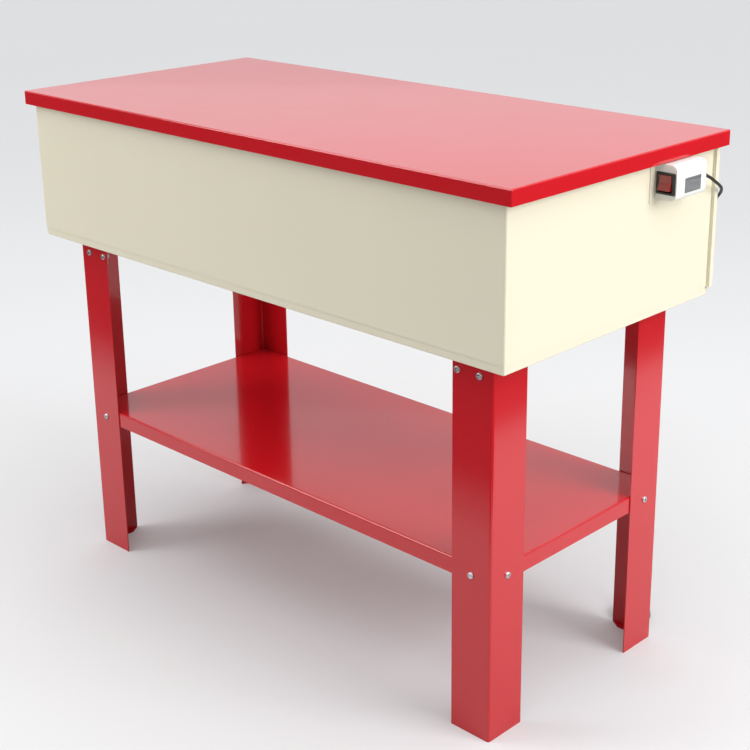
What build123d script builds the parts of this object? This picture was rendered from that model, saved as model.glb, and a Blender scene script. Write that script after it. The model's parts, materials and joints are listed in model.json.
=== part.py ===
from build123d import *
from math import acos, atan2, cos, degrees, hypot, pi, radians, sin, tan
import os

# Parts washer: a sheet steel solvent tank on four angle legs, with a hinged lid and a lower shelf.
# Millimetres, +Z up, front of the tank towards -Y. The origin is on the floor, under the middle of the
# box that holds the whole washer (its cord left out).

# ---- driving dimensions -------------------------------------------------------------------------
HEIGHT = 928.0  # floor to the top of the closed lid

LID_L = 1180.0
LID_W = 548.0
LID_FLANGE = 25.0
LID_T = 1.2
LID_BEND = 2.4
LID_REST = 0.3  # lid underside above the tank rim

TANK_END_SET = 17.0  # lid end to the tank's end wall
TANK_DEPTH = 275.5  # tank bottom to rim
TANK_FRONT_SET = 11.0  # lid front edge to tank front wall
TANK_BACK_SET = 10.0  # tank back wall to lid rear edge
WALL_T = 1.2
WALL_BEND = 3.0
RIM = 12.0  # width of the inward rim
RETURN = 8.0  # how far the front wall wraps round each corner
SEAM_OUT = 6.0  # rear seam, sideways past the end wall
SEAM_DEEP = 9.0  # rear seam, front to back
HEM = 15.0  # band of the bottom pan that shows under the walls
PAN_LAP = 10.0  # bottom pan flange behind the walls

LEG_W = 80.0
LEG_T = 2.0
LEG_BEND = 4.0
LEG_END_SET = 54.0  # end wall to the outside of the leg
LEG_FRONT_SET = 41.0
LEG_BACK_SET = 38.0
FOOT_TAB = 15.0
FOOT_MITRE = 20.0
LEG_BOLT_IN, LEG_BOLT_EDGE = 26.0, 10.0  # front flange bolts, from the leg's corner and its free edge
LEG_BOLT_DROP = 30.0  # below the tank bottom

BRACKET_FROM, BRACKET_EDGE = 8.0, 2.0  # from the leg's corner and its free edge
BRACKET_DROP = 45.0
BRACKET_LAP = 25.0
BRACKET_T = 2.0

SHELF_Z = 303.0  # top of the lower shelf
SHELF_FLANGE = 29.0
SHELF_T = 1.2
SHELF_BEND = 3.0
SHELF_BOLT_DROP = 17.0  # below the shelf top

BOLT_R = 3.0
BOLT = (BOLT_R, 12.0, 5.6, 3.4)  # radius, length, head radius, head height
BOLT_CLEAR = 0.3
NUT_ACROSS_R = 5.6
NUT_H = 4.8
THREAD_GAP = 0.05  # radial, between a thread and its nut or bush

HINGE_T = 1.2
HINGE_END_SET = 18.0  # end wall to the hinge's end
HINGE_KNUCKLES = 15
HINGE_END_GAP = 0.5  # between neighbouring knuckles
HINGE_PIN_R = 2.0
HINGE_Z_DROP = 4.0  # hinge axis below the lid flange
HINGE_TANK_LEAF = 32.0
HINGE_LID_LEAF = 24.0
RIVET_R = 1.6
RIVET_HEAD_R = 3.2
RIVET_HEAD_H = 0.9
RIVET_COUNT = 7
RUN_FIT = 0.05  # radial clearance of a turning fit

LID_OPEN = 75.0  # degrees

STAY_T = 2.5
STAY_W = 14.0
STAY_GAP = 0.5
STAY_REACH, STAY_DROP = 200.0, 17.0  # stay pivot: in front of the hinge, and below the lid top
STAY_SEAT_REACH, STAY_SEAT_DROP = 148.4, 38.5  # stay's seat: in front of the hinge, below the rim
STAY_SEAT_T = 1.5
STAY_SEAT_W, STAY_SEAT_UP, STAY_SEAT_DOWN = 40.0, 10.0, 20.0  # its plate, from the peg
STAY_REST_W, STAY_REST_UP, STAY_REST_DOWN = 24.0, 7.0, 14.0  # its notched block, from the peg
STAY_CLIP_AT = 0.8  # of the stay's length from its pivot
STAY_PIVOT_R = 3.0
STAY_PEG_R, STAY_PEG_L = 3.0, 9.0
STAY_TAB_T = 2.0
LINK_L = 40.0
LINK_T = 1.5
LINK_CUT = 6.0  # gap in the bar that the fusible link bridges
LINK_RIVET_R = 2.2

WORK_L = 650.0
WORK_SIDE_SET = 17.5  # outside of the front and back walls to the work shelf
WORK_DROP = 126.5  # rim to the top of the work shelf
WORK_FLANGE = 15.0
WORK_T = 1.5
WORK_END_SET = 30.0  # end wall to work shelf, room for the lid stay
WORK_HOLE_R = 6.0
WORK_HOLE_PITCH = 56.0
WORK_HOLE_MARGIN = 40.0
RAIL_LAP = 7.7  # how far a rail reaches under the work shelf
RAIL_H = 20.0
RAIL_T = 2.0
SEAT = 0.3  # a lift-out piece above what it rests on

BASKET_L, BASKET_W, BASKET_H = 240.0, 160.0, 66.0
BASKET_T = 1.5
BASKET_RIM = 5.0
BASKET_END_SET = 104.5  # end of the work shelf to the basket
BASKET_MARGIN = 13.0
SLOT_W, SLOT_PITCH = 5.0, 16.0

PUMP_END_SET, PUMP_BACK_SET = 143.0, 84.0  # right end wall and back wall to the pump's axis
PUMP_BASE_R, PUMP_BASE_H = 50.0, 30.0
PUMP_LEG_H = 10.0
PUMP_WALL = 4.0
PUMP_EYE_R = 18.0
PUMP_FOOT_R = 4.0
PUMP_FLANGE_T = 5.0
PUMP_MOTOR_R, PUMP_MOTOR_H = 42.0, 78.0
PUMP_MOTOR_ROUND = 8.0
PUMP_GROOVE = 3.0
PUMP_GROOVES = 16
PUMP_SHAFT_R, PUMP_SHAFT_L = 4.0, 28.0
GLAND_R, GLAND_H = 7.0, 8.0
IMPELLER_R, IMPELLER_H, IMPELLER_T = 36.0, 12.0, 3.0
IMPELLER_HUB_R = 9.0
IMPELLER_GAP = 3.0
IMPELLER_VANES = 6
STRAINER_R = 48.0
STRAINER_T = 1.5
STRAINER_GAP = 2.0  # above the tank floor
STRAINER_SLOTS, STRAINER_SLOT_W = 12, 4.0
STRAINER_EYE_R = 9.0
OUTLET_SET = 16.0  # side of the pump's base to the outlet's axis
OUTLET_R = 10.0
BARB_R, BARB_T = 6.0, 2.0
BARB_H = 18.0
STRAP_RISE, STRAP_H, STRAP_T = 22.0, 24.0, 2.0  # from the motor's foot
STRAP_WRAP = 12.0  # how far the strap goes round the motor's front half
STRAP_TAB = 18.0

SPOUT_BRACKET_RISE = 14.3  # motor's top to the top of the spout's bracket
SPOUT_BRACKET_W = 56.0
SPOUT_BRACKET_GAP = 6.3  # strap to the bracket's lower edge
SPOUT_BRACKET_T = 2.5
SPOUT_BRACKET_OUT = 24.0  # bracket in front of the spout's axis
SPIGOT_R = 8.0
SPIGOT_H = 16.0
SPIGOT_DROP = 26.0
SPIGOT_HEX_R, SPIGOT_HEX_H = 14.0, 3.0
SPOUT_NUT_H = 8.0
COLLAR_R, COLLAR_H = 13.0, 20.0
SPOUT_R = 7.0
SPOUT_BORE_R = 5.0
SPOUT_BEND = 36.0
SPOUT_LID_SET = 41.0  # closed lid to the middle of the level run
SPOUT_REACH = 170.0
SPOUT_DROP = 38.0
SPOUT_TURN = 222.0  # degrees, direction of the level run seen from above
NOZZLE_L = 20.0
NOZZLE_NUT_H = 8.0
NOZZLE_TIP_R, NOZZLE_BORE_R = 4.5, 3.2

HOSE_R = 9.0
CLAMP_W, CLAMP_T = 8.0, 1.2
CLAMP_EAR = 8.0

DRAIN_END_SET = 321.5  # right end wall to the drain
DRAIN_R = 13.0
DRAIN_BUSH_R = 20.0
DRAIN_BUSH_H = 14.0
DRAIN_HEAD_R = 17.0
DRAIN_HEAD_H = 10.0
GASKET_T = 2.0

BOX_PLATE_T = 1.5
BOX_DEEP = 38.5
BOX_LEN, BOX_BACK_SET = 84.0, 90.0  # its length, and the back wall to its rear
BOX_H, BOX_LID_GAP = 55.5, 1.5  # its height, and the gap up to the lid flange
BOX_WALL = 2.0
BOX_ROUND = 10.0
PLATE_LAP_Y, PLATE_LAP_Z = 13.0, 6.0
BEZEL_T = 2.0
BEZEL_SET = 2.0  # side of the box to the bezel
BEZEL_RAISE = -1.5  # bezel centre from the box's middle height
BEZEL_SIDE, BEZEL_END = 5.25, 3.25  # frame beside, and above and below, the rocker's window
BEZEL_ROUND, BEZEL_EDGE = 2.0, 0.8
SWITCH_DEEP = 22.0
SWITCH_WALL = 2.0
SWITCH_BACK = 6.0
TERMINAL_X, TERMINAL_L, TERMINAL_T = 7.0, 6.0, 0.8
ROCKER_GAP = 1.0
ROCKER_THROW = 20.0  # degrees
ROCKER_PIVOT_BACK = 6.0  # rocker pivot behind the bezel's front
ROCKER_PIN_R = 1.5
ROCKER_SADDLE, ROCKER_LIFT = 6.4, 9.2  # middle and ends of its face, in front of the pin
ROCKER_ROOT, ROCKER_DEEP = 3.5, 4.5
LABEL_L, LABEL_H, LABEL_T = 44.0, 23.0, 0.6
LABEL_FROM, LABEL_RISE = 45.0, 21.5  # its middle, from the box's front and bottom
LABEL_GAP = 0.2
BOX_SCREW_R = 2.0
BOX_SCREW = (BOX_SCREW_R, 18.0, 4.0, 2.6)  # radius, length, head radius, head height
BOX_BOSS_R = 4.0
BOX_SCREW_FRONT, BOX_SCREW_REAR = 9.0, 9.0  # behind the switch, and in front of the box's rear
BOX_SCREW_RISE = 12.0  # above the box's bottom
GROMMET_R, GROMMET_FLANGE, GROMMET_T = 6.0, 8.5, 2.0
LEAD_R = 3.0
LEAD_RISE = 46.0
LEAD_INTO_BOX = 8.0

CORD_D = 5.2
CORD_EXIT_RISE = 21.0  # above the box's bottom
RELIEF_L, RELIEF_R0, RELIEF_R1 = 26.0, 6.0, 3.8
RELIEF_FLANGE, RELIEF_PLUG = 3.0, 6.0
COIL_X, COIL_Y = 443.2, 263.0
COIL_MID_R = 26.0
COIL_H = 15.0
PLUG_L, PLUG_W, PLUG_H = 38.0, 22.0, 18.0
PLUG_FROM = 64.0  # coil centre to the back of the plug
PLUG_ASIDE = 12.0
PLUG_ROUND = 4.0
PRONG_L, PRONG_W, PRONG_T = 16.0, 6.3, 1.5
PRONG_SPREAD = 12.7
EARTH_R, EARTH_DROP = 2.2, 4.5

# ---- worked out from them -----------------------------------------------------------------------
TANK_L = LID_L - 2 * TANK_END_SET
BOX_REACH = TANK_L / 2 + BOX_PLATE_T + BOX_DEEP  # tank centre to the box's outer side
CX = -(BOX_REACH - LID_L / 2) / 2  # tank centre, left of the origin
LID_Y0, LID_Y1 = -LID_W / 2, LID_W / 2
LID_Z0 = HEIGHT - LID_FLANGE
LID_UNDER = HEIGHT - LID_T
RIM_Z = LID_UNDER - LID_REST
TANK_Z = RIM_Z - TANK_DEPTH
WALL_Z = TANK_Z + HEM
TX0, TX1 = CX - TANK_L / 2, CX + TANK_L / 2
TY0, TY1 = LID_Y0 + TANK_FRONT_SET, LID_Y1 - TANK_BACK_SET
SEAM_Y = TY1 - SEAM_DEEP
LEG_X = (TX0 + LEG_END_SET, TX1 - LEG_END_SET)
LEG_Y = (TY0 + LEG_FRONT_SET, TY1 - LEG_BACK_SET)
LEG_BOLTS = (LEG_BOLT_IN, LEG_W - LEG_BOLT_EDGE)
SHELF_BOLT = LEG_W / 2  # from the leg's corner, on both flanges
BRACKET_TO = LEG_W - BRACKET_EDGE
BOLT_HOLE_R = BOLT_R + BOLT_CLEAR
LEG_BOLT_Z = TANK_Z - LEG_BOLT_DROP
SHELF_BOLT_Z = SHELF_Z - SHELF_BOLT_DROP
HINGE_L = TANK_L - 2 * HINGE_END_SET
HINGE_R = (LID_Y1 - LID_T - TY1) / 2
HINGE_Y = TY1 + HINGE_R
HINGE_Z = LID_Z0 - HINGE_Z_DROP
WORK_Z = RIM_Z - WORK_DROP
WORK_X0 = TX0 + WORK_END_SET
WORK_X1 = WORK_X0 + WORK_L
WORK_Y0, WORK_Y1 = TY0 + WORK_SIDE_SET, TY1 - WORK_SIDE_SET
RAIL_W = WORK_SIDE_SET - WALL_T + RAIL_LAP
MID_Y = (TY0 + TY1) / 2
BASKET_X = WORK_X0 + BASKET_END_SET + BASKET_L / 2
RAIL_Z = WORK_Z - WORK_FLANGE - SEAT
DRAIN_X, DRAIN_Y = TX1 - DRAIN_END_SET, MID_Y
PUMP_X, PUMP_Y = TX1 - PUMP_END_SET, TY1 - PUMP_BACK_SET
PUMP_Z = TANK_Z + WALL_T
BASE_Z = PUMP_Z + PUMP_LEG_H
MOTOR_Z = BASE_Z + PUMP_BASE_H
MOTOR_TOP = MOTOR_Z + PUMP_MOTOR_H
STRAP_Z = MOTOR_Z + STRAP_RISE
SPOUT_X, SPOUT_Y = PUMP_X - PUMP_BASE_R - OUTLET_SET, PUMP_Y
SPOUT_BRACKET_Z = MOTOR_TOP + SPOUT_BRACKET_RISE
COLLAR_Z = SPOUT_BRACKET_Z + SPIGOT_HEX_H + SEAT
SPOUT_LEVEL = LID_UNDER - SPOUT_LID_SET
BOX_X0 = TX1 + BOX_PLATE_T
BOX_X1 = BOX_X0 + BOX_DEEP
BOX_Y1 = TY1 - BOX_BACK_SET
BOX_Y0 = BOX_Y1 - BOX_LEN
BOX_Z1 = LID_Z0 - BOX_LID_GAP
BOX_Z0 = BOX_Z1 - BOX_H
BOX_SCREWS = (BOX_Y0 + SWITCH_DEEP + BOX_SCREW_FRONT, BOX_Y1 - BOX_SCREW_REAR)
BEZEL = BOX_DEEP - 2 * BEZEL_SET
WINDOW_W, WINDOW_H = BEZEL - 2 * BEZEL_SIDE, BEZEL - 2 * BEZEL_END
BEZEL_X = BOX_X1 - BEZEL_SET - BEZEL / 2
BEZEL_Z = BOX_Z0 + BOX_H / 2 + BEZEL_RAISE
SWITCH_W, SWITCH_H = WINDOW_W + 2 * SWITCH_WALL, WINDOW_H + 2 * SWITCH_WALL
ROCKER_AXIS = (BOX_Y0 - BEZEL_T + ROCKER_PIVOT_BACK, BEZEL_Z)  # (y, z)
LABEL_Y, LABEL_Z = BOX_Y0 + LABEL_FROM, BOX_Z0 + LABEL_RISE
CORD_X = BOX_X0 + BOX_DEEP / 2
CORD_EXIT_Z = BOX_Z0 + CORD_EXIT_RISE
LEAD_Y = BOX_Y0 + BOX_LEN / 2
LEAD_Z = BOX_Z0 + BOX_H / 2


# ---- shapes -------------------------------------------------------------------------------------
def block(x0, x1, y0, y1, z0, z1):
    return Pos((x0 + x1) / 2, (y0 + y1) / 2, (z0 + z1) / 2) * Box(x1 - x0, y1 - y0, z1 - z0)


def disc(r, x, y, z0, z1):
    return Pos(x, y, (z0 + z1) / 2) * Cylinder(r, z1 - z0)


def rod(r, start, end):
    """A round bar between two points."""
    line = Vector(*end) - Vector(*start)
    return Plane(origin=start, z_dir=line) * (Pos(0, 0, line.length / 2) * Cylinder(r, line.length))


def rounded(x0, x1, y0, y1, z0, z1, r, face=-1):
    """A block with round vertical edges and round edges on its top (face=-1) or bottom (face=0)."""
    solid = block(x0, x1, y0, y1, z0, z1)
    edges = solid.edges().filter_by(Axis.Z) + solid.faces().sort_by(Axis.Z)[face].edges()
    return fillet(edges, r)


def pan_down(x0, x1, y0, y1, z0, z1, t, r):
    """A sheet with all four edges folded down."""
    inside = rounded(x0 + t, x1 - t, y0 + t, y1 - t, z0 - t, z1 - t, r - t)
    return rounded(x0, x1, y0, y1, z0, z1, r) - inside


def pan_up(x0, x1, y0, y1, z0, z1, t, r):
    """A sheet with all four edges folded up."""
    inside = rounded(x0 + t, x1 - t, y0 + t, y1 - t, z0 + t, z1 + t, r - t, face=0)
    return rounded(x0, x1, y0, y1, z0, z1, r, face=0) - inside


def pan_head_screw(at, out, size):
    """A cross-head screw of a size (radius, length, head radius, head height): its head's seat is at the
    point, and its head stands out along a direction."""
    r, length, head_r, head_h = size
    head = Pos(0, 0, head_h / 2) * Cylinder(head_r, head_h)
    head = fillet(head.edges().group_by(Axis.Z)[-1], head_h * 0.6)
    slot = head_r / 4
    for turn in (0, 90):
        head -= Rot(0, 0, turn) * (Pos(0, 0, head_h) * Box(head_r, slot, head_h))
    shank = Pos(0, 0, -length / 2) * Cylinder(r, length)
    return Plane(origin=at, z_dir=out) * (head + shank)


def hex_nut(at, out, bore_r, across_r, height):
    """A hexagon nut: its seat is at the point, and it stands out along a direction."""
    body = extrude(RegularPolygon(across_r, 6), height)
    body -= Pos(0, 0, height / 2) * Cylinder(bore_r, 2 * height)
    return Plane(origin=at, z_dir=out) * body


def tube(points, radii, r, bore=None):
    """A round bar along straight runs joined by tangent arcs, hollow where a bore is given."""
    path = FilletPolyline(*points, radius=radii)
    section = Circle(r) if bore is None else Circle(r) - Circle(bore)
    start = Plane(origin=path @ 0, z_dir=path % 0)
    return sweep(start * section, path=path)


def arc_radii(points):
    """The radius of each corner: as large as its two runs allow."""
    radii = []
    for a, b, c in zip(points, points[1:], points[2:]):
        run_in, run_out = Vector(*b) - Vector(*a), Vector(*c) - Vector(*b)
        half_turn = radians(run_in.get_angle(run_out)) / 2
        radii.append(0.45 * min(run_in.length, run_out.length) / tan(half_turn))
    return radii


NODES = {}


# ---- legs, brackets and lower shelf -------------------------------------------------------------
def leg_local():
    """One leg with its corner at the origin and its flanges along +X and +Y."""
    angle = block(0, LEG_W, 0, LEG_T, 0, TANK_Z) + block(0, LEG_T, 0, LEG_W, 0, TANK_Z)
    for corner, bend in ((0, LEG_BEND), (LEG_T, LEG_BEND - LEG_T)):
        upright = angle.edges().filter_by(Axis.Z)
        near = [e for e in upright if hypot(e.center().X - corner, e.center().Y - corner) < 0.1]
        angle = fillet(near, bend)
    half = LEG_T / 2
    outline = [
        (half, half), (LEG_W, half), (LEG_W, LEG_T), (LEG_W - FOOT_MITRE, FOOT_TAB), (FOOT_TAB, FOOT_TAB),
        (FOOT_TAB, LEG_W - FOOT_MITRE), (LEG_T, LEG_W), (half, LEG_W),
    ]
    foot = extrude(make_face(Polyline(*outline, close=True)), LEG_T)
    corner_cut = block(-LEG_BEND, LEG_BEND, -LEG_BEND, LEG_BEND, -1, LEG_T + 1)
    corner_cut -= disc(LEG_BEND, LEG_BEND, LEG_BEND, -1, LEG_T + 1)
    leg = angle + (foot - corner_cut)
    for x in LEG_BOLTS:
        leg -= rod(BOLT_HOLE_R, (x, -LEG_T, LEG_BOLT_Z), (x, 2 * LEG_T, LEG_BOLT_Z))
    leg -= rod(BOLT_HOLE_R, (SHELF_BOLT, -LEG_T, SHELF_BOLT_Z), (SHELF_BOLT, 2 * LEG_T, SHELF_BOLT_Z))
    leg -= rod(BOLT_HOLE_R, (-LEG_T, SHELF_BOLT, SHELF_BOLT_Z), (2 * LEG_T, SHELF_BOLT, SHELF_BOLT_Z))
    return leg


def bracket_local():
    """The angle under the tank that the leg's front flange is bolted to."""
    z0, z1 = TANK_Z - BRACKET_DROP, TANK_Z
    angle = block(BRACKET_FROM, BRACKET_TO, LEG_T, LEG_T + BRACKET_T, z0, z1)
    angle += block(BRACKET_FROM, BRACKET_TO, LEG_T, LEG_T + BRACKET_LAP, z1 - BRACKET_T, z1)
    for x in LEG_BOLTS:
        angle -= rod(BOLT_HOLE_R, (x, 0, LEG_BOLT_Z), (x, 2 * (LEG_T + BRACKET_T), LEG_BOLT_Z))
    return angle


def at_corner(shape, side, end):
    """Moves a shape made for the front left corner to the left or right side, front or rear end."""
    if side:
        shape = mirror(shape, about=Plane.YZ)
    if end:
        shape = mirror(shape, about=Plane.XZ)
    return Pos(LEG_X[side], LEG_Y[end], 0) * shape


def leg_fasteners_local():
    """The bolts and nuts of one leg: two at the tank's bracket, two at the shelf."""
    leg_bolts, leg_nuts, shelf_bolts, shelf_nuts = [], [], [], []
    inside = LEG_T + BRACKET_T
    for x in LEG_BOLTS:
        leg_bolts.append(pan_head_screw((x, 0, LEG_BOLT_Z), (0, -1, 0), BOLT))
        back = (x, inside, LEG_BOLT_Z)
        leg_nuts.append(hex_nut(back, (0, 1, 0), BOLT_R + THREAD_GAP, NUT_ACROSS_R, NUT_H))
    inside = LEG_T + SHELF_T
    for at, out in (((SHELF_BOLT, 0), (0, -1, 0)), ((0, SHELF_BOLT), (-1, 0, 0))):
        seat = (at[0], at[1], SHELF_BOLT_Z)
        back = (at[0] - out[0] * inside, at[1] - out[1] * inside, SHELF_BOLT_Z)
        inward = (-out[0], -out[1], 0)
        shelf_bolts.append(pan_head_screw(seat, out, BOLT))
        shelf_nuts.append(hex_nut(back, inward, BOLT_R + THREAD_GAP, NUT_ACROSS_R, NUT_H))
    return leg_bolts, leg_nuts, shelf_bolts, shelf_nuts


def add_legs():
    leg, bracket, fasteners = leg_local(), bracket_local(), leg_fasteners_local()
    brackets = []
    groups = ([], [], [], [])
    for side, side_name in enumerate(("left", "right")):
        for end, end_name in enumerate(("front", "rear")):
            NODES[f"leg_{end_name}_{side_name}"] = at_corner(leg, side, end)
            brackets.append(at_corner(bracket, side, end))
            for group, pieces in zip(groups, fasteners):
                group += [at_corner(piece, side, end) for piece in pieces]
    NODES["leg_brackets"] = Compound(children=brackets)
    for name, group in zip(("leg_bolts", "leg_nuts", "shelf_bolts", "shelf_nuts"), groups):
        NODES[name] = Compound(children=group)


def add_lower_shelf():
    x0, x1 = LEG_X[0] + LEG_T, LEG_X[1] - LEG_T
    y0, y1 = LEG_Y[0] + LEG_T, LEG_Y[1] - LEG_T
    shelf = pan_down(x0, x1, y0, y1, SHELF_Z - SHELF_FLANGE, SHELF_Z, SHELF_T, SHELF_BEND)
    for x in (LEG_X[0] + SHELF_BOLT, LEG_X[1] - SHELF_BOLT):
        shelf -= rod(BOLT_HOLE_R, (x, y0 - 1, SHELF_BOLT_Z), (x, y1 + 1, SHELF_BOLT_Z))
    for y in (LEG_Y[0] + SHELF_BOLT, LEG_Y[1] - SHELF_BOLT):
        shelf -= rod(BOLT_HOLE_R, (x0 - 1, y, SHELF_BOLT_Z), (x1 + 1, y, SHELF_BOLT_Z))
    NODES["lower_shelf"] = shelf


# ---- tank ---------------------------------------------------------------------------------------
def add_tank_front():
    outer = block(TX0, TX1, TY0, TY0 + RETURN, WALL_Z, RIM_Z)
    corners = [e for e in outer.edges().filter_by(Axis.Z) if e.center().Y < TY0 + 1]
    outer = fillet(corners, WALL_BEND)
    inner = block(TX0 + WALL_T, TX1 - WALL_T, TY0 + WALL_T, TY0 + 2 * RETURN, WALL_Z - 1, RIM_Z + 1)
    corners = [e for e in inner.edges().filter_by(Axis.Z) if e.center().Y < TY0 + WALL_T + 1]
    inner = fillet(corners, WALL_BEND - WALL_T)
    rim = block(TX0 + WALL_T, TX1 - WALL_T, TY0 + WALL_T, TY0 + RIM, RIM_Z - WALL_T, RIM_Z)
    NODES["tank_front"] = (outer - inner) + rim


def end_wall(side):
    """One end wall, with its rim and the outward flange of the rear seam. side is -1 or 1."""
    out = CX + side * TANK_L / 2

    def span(a, b):
        return sorted((out - side * a, out - side * b))

    wall = block(*span(0, WALL_T), TY0 + RETURN, SEAM_Y + WALL_T, WALL_Z, RIM_Z)
    wall += block(*span(WALL_T, -(SEAM_OUT - WALL_T)), SEAM_Y, SEAM_Y + WALL_T, WALL_Z, RIM_Z)
    wall += block(*span(0, RIM), TY0 + RIM, TY1 - RIM, RIM_Z - WALL_T, RIM_Z)
    return wall


def add_tank_ends():
    NODES["tank_end_left"] = end_wall(-1)
    right = end_wall(1)
    for y in BOX_SCREWS:
        z = BOX_Z0 + BOX_SCREW_RISE
        right -= rod(BOX_SCREW_R + BOLT_CLEAR, (TX1 - 5, y, z), (TX1 + 5, y, z))
    right -= rod(GROMMET_R, (TX1 - 5, LEAD_Y, LEAD_Z), (TX1 + 5, LEAD_Y, LEAD_Z))
    NODES["tank_end_right"] = right


def rivet_places():
    step = HINGE_L / RIVET_COUNT
    return [CX - HINGE_L / 2 + step * (i + 0.5) for i in range(RIVET_COUNT)]


def add_tank_back():
    x0, x1 = TX0 - SEAM_OUT, TX1 + SEAM_OUT
    back = block(x0, x1, TY1 - WALL_T, TY1, WALL_Z, RIM_Z)
    back += block(x0, x0 + WALL_T, SEAM_Y, TY1, WALL_Z, RIM_Z)
    back += block(x1 - WALL_T, x1, SEAM_Y, TY1, WALL_Z, RIM_Z)
    back += block(TX0 + WALL_T, TX1 - WALL_T, TY1 - RIM, TY1, RIM_Z - WALL_T, RIM_Z)
    z = HINGE_Z - HINGE_TANK_LEAF / 2
    for x in rivet_places():
        back -= rod(RIVET_R + RUN_FIT, (x, TY1 - 5, z), (x, TY1 + 5, z))
    NODES["tank_back"] = back


def add_tank_bottom():
    pan = pan_up(
        TX0 + WALL_T, TX1 - WALL_T, TY0 + WALL_T, TY1 - WALL_T, TANK_Z, WALL_Z + PAN_LAP, WALL_T, WALL_BEND
    )
    NODES["tank_bottom"] = pan - disc(DRAIN_BUSH_R, DRAIN_X, DRAIN_Y, TANK_Z - 1, TANK_Z + 5)


def add_drain():
    z0, z1 = TANK_Z + WALL_T - DRAIN_BUSH_H, TANK_Z + WALL_T
    bush = disc(DRAIN_BUSH_R, DRAIN_X, DRAIN_Y, z0, z1)
    NODES["drain_bush"] = bush - disc(DRAIN_R + THREAD_GAP, DRAIN_X, DRAIN_Y, z0 - 1, z1 + 1)
    gasket = disc(DRAIN_HEAD_R - 1, DRAIN_X, DRAIN_Y, z0 - GASKET_T, z0)
    NODES["drain_gasket"] = gasket - disc(DRAIN_R + BOLT_CLEAR, DRAIN_X, DRAIN_Y, z0 - GASKET_T - 1, z0 + 1)
    head_z = z0 - GASKET_T - SEAT
    head = extrude(Pos(DRAIN_X, DRAIN_Y, head_z) * RegularPolygon(DRAIN_HEAD_R, 6), -DRAIN_HEAD_H)
    NODES["drain_plug"] = head + disc(DRAIN_R, DRAIN_X, DRAIN_Y, head_z, z1 - 1)


# ---- lid and hinge ------------------------------------------------------------------------------
def knuckle_spans(first):
    """The x spans of every second knuckle, from the given one."""
    pitch = HINGE_L / HINGE_KNUCKLES
    starts = [CX - HINGE_L / 2 + pitch * i for i in range(first, HINGE_KNUCKLES, 2)]
    return [(x + HINGE_END_GAP / 2, x + pitch - HINGE_END_GAP / 2) for x in starts]


def hinge_leaf(first, y0, z0, z1):
    """One hinge leaf: a flat strip and its knuckles, relieved where the other leaf's knuckles turn."""
    leaf = block(CX - HINGE_L / 2, CX + HINGE_L / 2, y0, y0 + HINGE_T, z0, z1)
    relief = HINGE_R + HINGE_END_GAP
    for x0, x1 in knuckle_spans(1 - first):
        x0, x1 = x0 - HINGE_END_GAP, x1 + HINGE_END_GAP
        leaf -= rod(relief, (x0, HINGE_Y, HINGE_Z), (x1, HINGE_Y, HINGE_Z))
    for x0, x1 in knuckle_spans(first):
        leaf += rod(HINGE_R, (x0, HINGE_Y, HINGE_Z), (x1, HINGE_Y, HINGE_Z))
    bore = rod(
        HINGE_PIN_R + RUN_FIT, (CX - HINGE_L, HINGE_Y, HINGE_Z), (CX + HINGE_L, HINGE_Y, HINGE_Z)
    )
    return leaf - bore


def add_hinge():
    tank_leaf = hinge_leaf(0, TY1, HINGE_Z - HINGE_TANK_LEAF, HINGE_Z)
    z = HINGE_Z - HINGE_TANK_LEAF / 2
    rivets = []
    for x in rivet_places():
        tank_leaf -= rod(RIVET_R + RUN_FIT, (x, TY1 - 5, z), (x, TY1 + 5, z))
        seat = TY1 + HINGE_T
        rivet = rod(RIVET_R, (x, TY1 - WALL_T - RIVET_HEAD_H, z), (x, seat, z))
        rivet += rod(RIVET_HEAD_R, (x, seat, z), (x, seat + RIVET_HEAD_H, z))
        rivet += rod(RIVET_HEAD_R - 1, (x, TY1 - WALL_T - 2 * RIVET_HEAD_H, z), (x, TY1 - WALL_T, z))
        rivets.append(rivet)
    NODES["hinge_leaf_tank"] = tank_leaf
    NODES["hinge_rivets"] = Compound(children=rivets)
    NODES["hinge_leaf_lid"] = hinge_leaf(1, LID_Y1 - LID_T - HINGE_T, HINGE_Z, HINGE_Z + HINGE_LID_LEAF)
    NODES["hinge_pin"] = rod(
        HINGE_PIN_R, (CX - HINGE_L / 2 - 1, HINGE_Y, HINGE_Z), (CX + HINGE_L / 2 + 1, HINGE_Y, HINGE_Z)
    )


def add_lid():
    NODES["lid"] = pan_down(
        CX - LID_L / 2, CX + LID_L / 2, LID_Y0, LID_Y1, LID_Z0, HEIGHT, LID_T, LID_BEND
    )


# ---- lid stay -----------------------------------------------------------------------------------
STAY_X = TX0 + RIM + STAY_GAP  # outer side of the arm
STAY_PIVOT = (HINGE_Y - STAY_REACH, HEIGHT - STAY_DROP)  # (y, z) with the lid closed
STAY_SEAT = (HINGE_Y - STAY_SEAT_REACH, RIM_Z - STAY_SEAT_DROP)  # (y, z) of the peg with the lid open


def swing(point, angle):
    """Where a point (y, z) of the lid goes when the lid opens by an angle in degrees."""
    y, z = point[0] - HINGE_Y, point[1] - HINGE_Z
    a = radians(angle)
    return HINGE_Y + y * cos(a) + z * sin(a), HINGE_Z + z * cos(a) - y * sin(a)


OPEN_PIVOT = swing(STAY_PIVOT, LID_OPEN)
STAY_LEN = hypot(OPEN_PIVOT[0] - STAY_SEAT[0], OPEN_PIVOT[1] - STAY_SEAT[1])


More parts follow.
